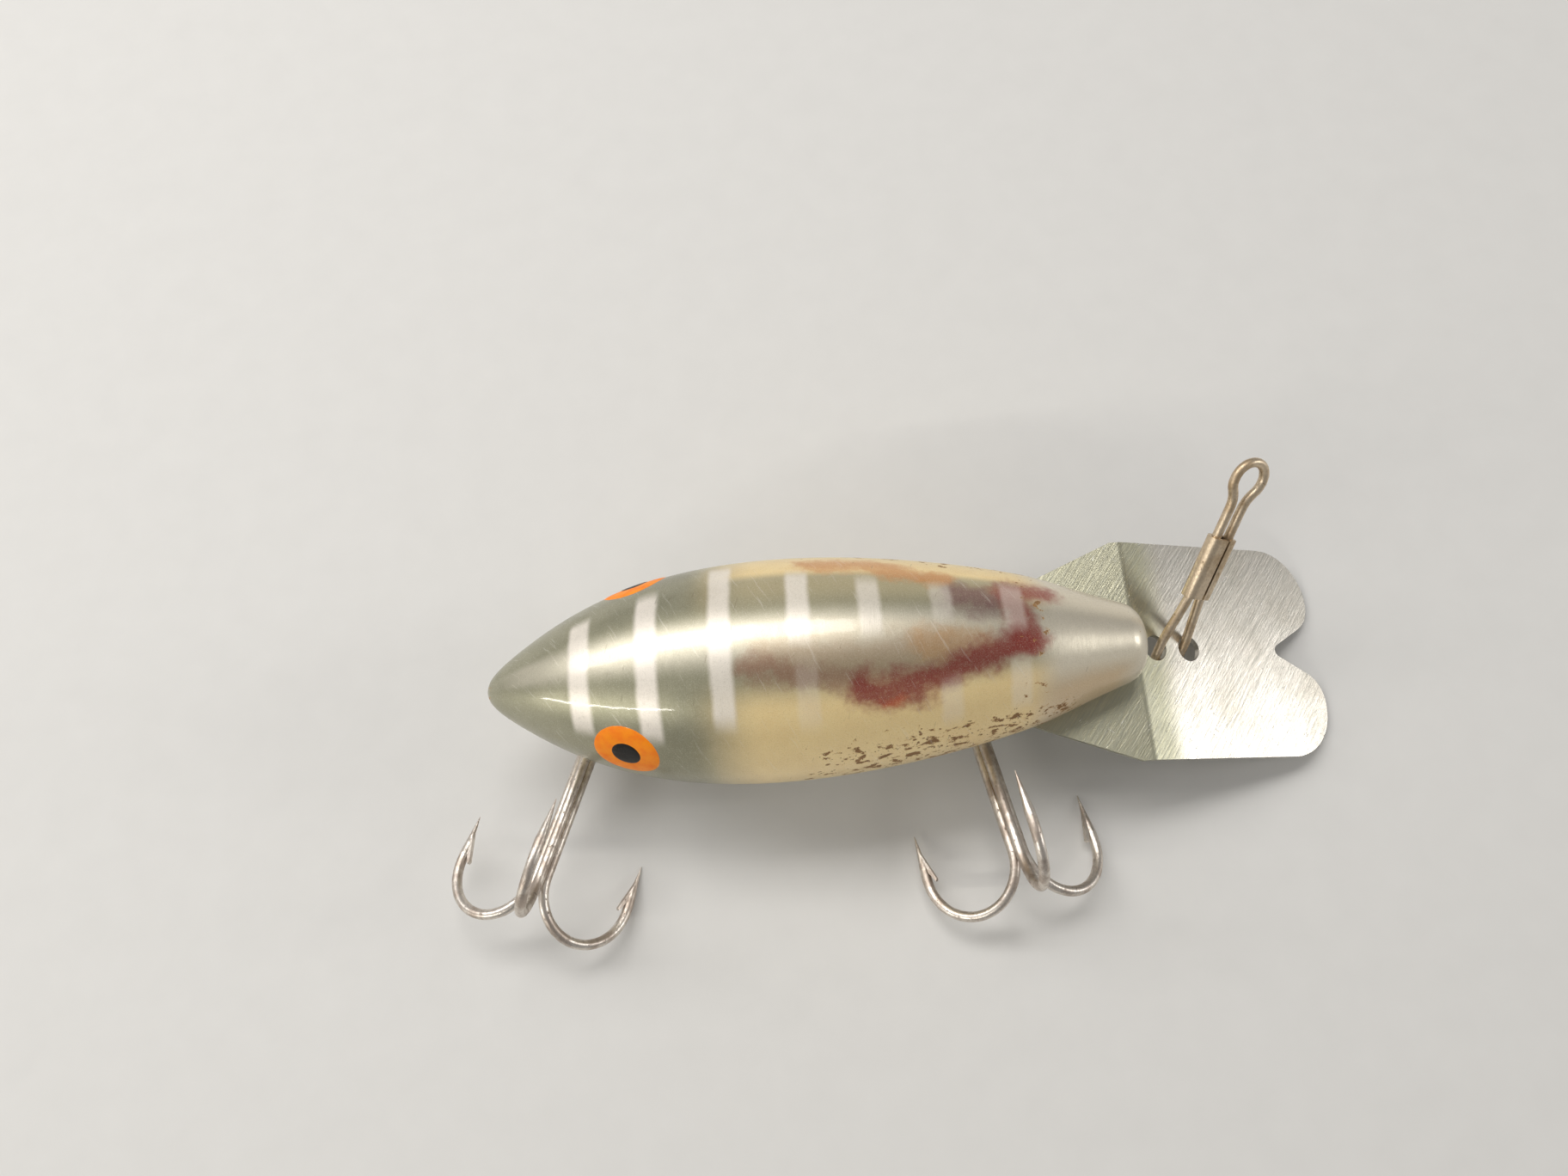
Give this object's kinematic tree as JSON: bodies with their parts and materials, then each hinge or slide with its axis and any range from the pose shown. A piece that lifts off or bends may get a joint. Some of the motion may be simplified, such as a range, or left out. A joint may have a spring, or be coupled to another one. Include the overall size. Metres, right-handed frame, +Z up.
{
  "type": "diving plug fishing lure",
  "caption": "Hard-bodied fishing plug: a turned, painted wooden body with a heart-shaped bent metal diving lip, a swinging wire line tie and treble hooks hung from the belly.",
  "frame": {"origin": "middle of the bottom of the whole object's box, on the surface it lies on", "axes": "+X from the tail tip to the lip, along the body; +Z up through the back; the trebles lie towards -Y"},
  "size_m": [0.1092, 0.0474, 0.0278],
  "materials": {
    "body_paint": "gloss lacquer over sprayed metallic paint, chipped to the wood",
    "lip_metal": "brushed bright nickel plate",
    "tie_metal": "tarnished nickel plate",
    "hook_metal": "dull tarnished plate",
    "fastener_metal": "worn nickel plate over brass",
    "braze_metal": "dull braze"
  },
  "bodies": {
    "plug": {"wood_body": "body_paint", "diving_lip": "lip_metal", "lip_screw_rear": "fastener_metal", "lip_screw_front": "fastener_metal", "rear_screw_eye": "fastener_metal", "front_screw_eye": "fastener_metal", "rear_cup_washer": "fastener_metal", "front_cup_washer": "fastener_metal"},
    "line_tie": {"line_tie_wire": "tie_metal", "line_tie_sleeve": "tie_metal"},
    "rear_treble": {"rear_double_hook": "hook_metal", "rear_single_hook": "hook_metal", "rear_hook_braze": "braze_metal"},
    "front_treble": {"front_double_hook": "hook_metal", "front_single_hook": "hook_metal", "front_hook_braze": "braze_metal"}
  },
  "joints": [
    {"name": "line_tie_swing", "type": "hinge", "parent": "plug", "child": "line_tie", "pos_m": [0.03376, 0.00587, 0.00931], "axis": [0.9171, 0, -0.3987], "range_deg": [0, 90]},
    {"name": "rear_treble_swing", "type": "hinge", "parent": "plug", "child": "rear_treble", "pos_m": [-0.03657, 0.00587, 0.00275], "axis": [1, 0, 0], "range_deg": [-6, 185]},
    {"name": "front_treble_swing", "type": "hinge", "parent": "plug", "child": "front_treble", "pos_m": [0.00943, 0.00587, 0.00275], "axis": [1, 0, 0], "range_deg": [-3, 183]}
  ]
}
